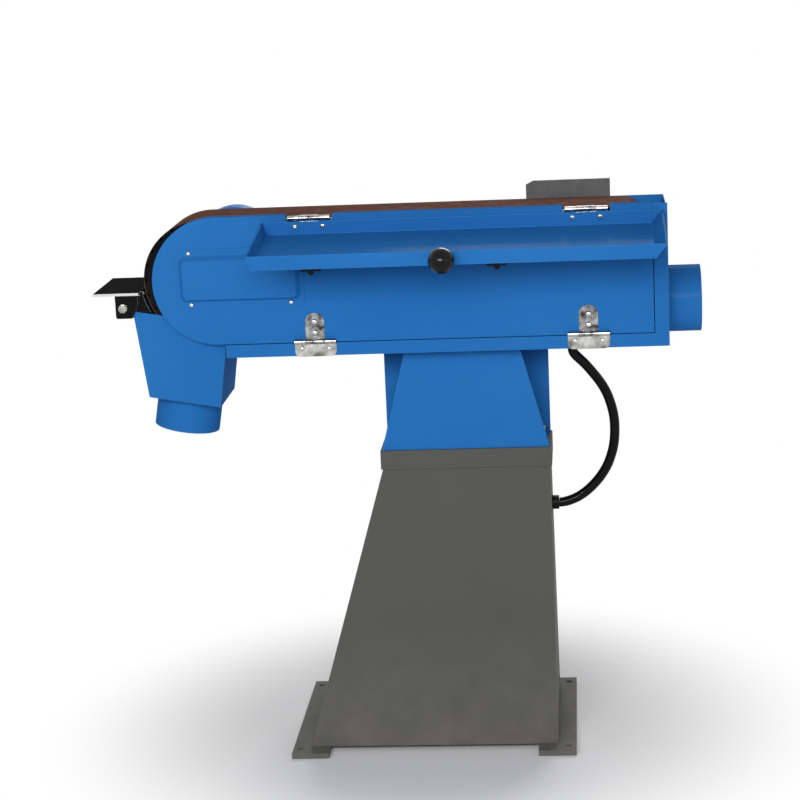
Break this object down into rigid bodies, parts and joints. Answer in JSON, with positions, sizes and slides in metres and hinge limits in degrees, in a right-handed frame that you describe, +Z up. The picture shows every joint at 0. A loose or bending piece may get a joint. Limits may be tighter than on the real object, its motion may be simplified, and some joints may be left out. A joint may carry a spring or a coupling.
{
  "type": "belt sanding machine",
  "caption": "Floor-standing belt sander: long sheet-metal head with front door and fold-out lid, contact wheel and work table at one end, dust hopper and duct outlets, on a pedestal stand.",
  "frame": {"origin": "on the floor at the middle of the four floor bolt holes of the stand", "axes": "+X along the belt from the contact wheel to the right-hand outlet, +Y away from the operator's side with the door, +Z up"},
  "size_m": [1.094, 0.7232, 1.0505],
  "materials": {
    "painted_blue": "satin enamel",
    "motor_blue": "satin enamel on cast alloy",
    "painted_grey": "fine textured enamel",
    "painted_black": "satin enamel, worn edge",
    "zinc": "zinc plated",
    "steel": "ground steel",
    "alloy": "turned alloy",
    "rubber_black": "matt rubber",
    "abrasive": "coated abrasive cloth",
    "knob_black": "gloss",
    "cable_black": "gloss",
    "plastic_grey": "matt",
    "button_green": "gloss",
    "button_red": "gloss"
  },
  "bodies": {
    "frame": {"stand_column": "painted_grey", "stand_cap": "painted_grey", "foot_rails": "painted_grey", "pedestal_front": "painted_blue", "pedestal_rear": "painted_blue", "pedestal_webs": "painted_blue", "pedestal_foot": "painted_blue", "pedestal_bolts": "zinc", "back_plate": "painted_blue", "floor_channel": "painted_blue", "end_channel": "painted_blue", "hopper": "painted_blue", "hopper_outlet": "painted_blue", "end_outlet": "painted_blue", "platen": "steel", "platen_brackets": "steel", "door_posts": "steel", "fence_plate": "steel", "fence_bolts": "zinc", "door_hinge_leaves": "zinc", "door_hinge_pins": "zinc", "motor_flange": "motor_blue", "motor_body": "motor_blue", "motor_fan_cover": "motor_blue", "motor_terminal_box": "motor_blue", "slide_rails": "painted_grey", "lever_pivot": "zinc", "switch_box": "plastic_grey", "cable": "cable_black", "floor_gland": "cable_black", "stand_gland": "cable_black", "table_arm_front": "painted_black", "table_arm_rear": "painted_black", "table_bolts": "zinc", "abrasive_belt": "abrasive"},
    "contact_wheel": {"drive_shaft": "steel", "wheel_hub": "alloy", "wheel_tyre": "rubber_black", "wheel_fastener": "zinc"},
    "tension_slide": {"tension_carriage": "painted_grey", "roller_axle": "steel"},
    "tension_roller": {"roller_shell": "steel", "roller_bearings": "zinc"},
    "tracking_screw": {"tracking_knob": "knob_black"},
    "tension_lever": {"tension_lever": "knob_black"},
    "door": {"door_panel": "painted_blue", "door_plate": "painted_blue", "door_rivets": "zinc", "door_hinge_straps": "zinc", "lid_hinge_straps": "zinc"},
    "door_knob_left": {"star_knob_left": "knob_black"},
    "door_knob_right": {"star_knob_right": "knob_black"},
    "lid": {"lid_tray": "painted_blue", "lid_hinge_leaves": "zinc", "lid_hinge_pins": "zinc", "lid_knob": "knob_black"},
    "table": {"work_table": "painted_black"},
    "start_push": {"start_button": "button_green"},
    "stop_push": {"stop_button": "button_red"}
  },
  "joints": [
    {"name": "contact_wheel_spin", "type": "hinge", "parent": "frame", "child": "contact_wheel", "pos_m": [-0.38, -0.115, 0.915], "axis": [0, 1, 0], "continuous": true},
    {"name": "tension_slide_travel", "type": "slide", "parent": "frame", "child": "tension_slide", "axis": [1, 0, 0], "range_m": [-0.015, 0]},
    {"name": "tension_roller_spin", "type": "hinge", "parent": "tension_slide", "child": "tension_roller", "pos_m": [0.372, -0.115, 0.9723], "axis": [0, 1, 0], "continuous": true},
    {"name": "tracking_turn", "type": "hinge", "parent": "tension_slide", "child": "tracking_screw", "pos_m": [0.404, 0.025, 0.9723], "axis": [0, 1, 0], "continuous": true},
    {"name": "tension_lever_swing", "type": "hinge", "parent": "frame", "child": "tension_lever", "pos_m": [0.251, -0.001, 0.9723], "axis": [0, 1, 0], "range_deg": [0, 90]},
    {"name": "door_swing", "type": "hinge", "parent": "frame", "child": "door", "pos_m": [0.067, -0.22, 0.802], "axis": [1, 0, 0], "range_deg": [0, 95]},
    {"name": "door_knob_left_turn", "type": "hinge", "parent": "door", "child": "door_knob_left", "pos_m": [-0.178, -0.225, 0.947], "axis": [0, 1, 0], "continuous": true},
    {"name": "door_knob_right_turn", "type": "hinge", "parent": "door", "child": "door_knob_right", "pos_m": [0.152, -0.225, 0.947], "axis": [0, 1, 0], "continuous": true},
    {"name": "lid_swing", "type": "hinge", "parent": "door", "child": "lid", "pos_m": [0.067, -0.22, 1.025], "axis": [1, 0, 0], "range_deg": [-187.7, 0]},
    {"name": "table_tilt", "type": "hinge", "parent": "frame", "child": "table", "pos_m": [-0.5275, -0.115, 0.8684], "axis": [0, 1, 0], "range_deg": [-45, 0]},
    {"name": "start_press", "type": "slide", "parent": "frame", "child": "start_push", "axis": [0, -1, 0], "range_m": [0, 0.003], "stiffness_N_per_m": 400, "springref_m": -0.002},
    {"name": "stop_press", "type": "slide", "parent": "frame", "child": "stop_push", "axis": [0, -1, 0], "range_m": [0, 0.003], "stiffness_N_per_m": 400, "springref_m": -0.002}
  ],
  "couplings": [
    {"joint": "tension_roller_spin", "follows": "contact_wheel_spin", "ratio": 2.1552},
    {"joint": "tension_lever_swing", "follows": "tension_slide_travel", "rad_per_m": -104.72}
  ]
}
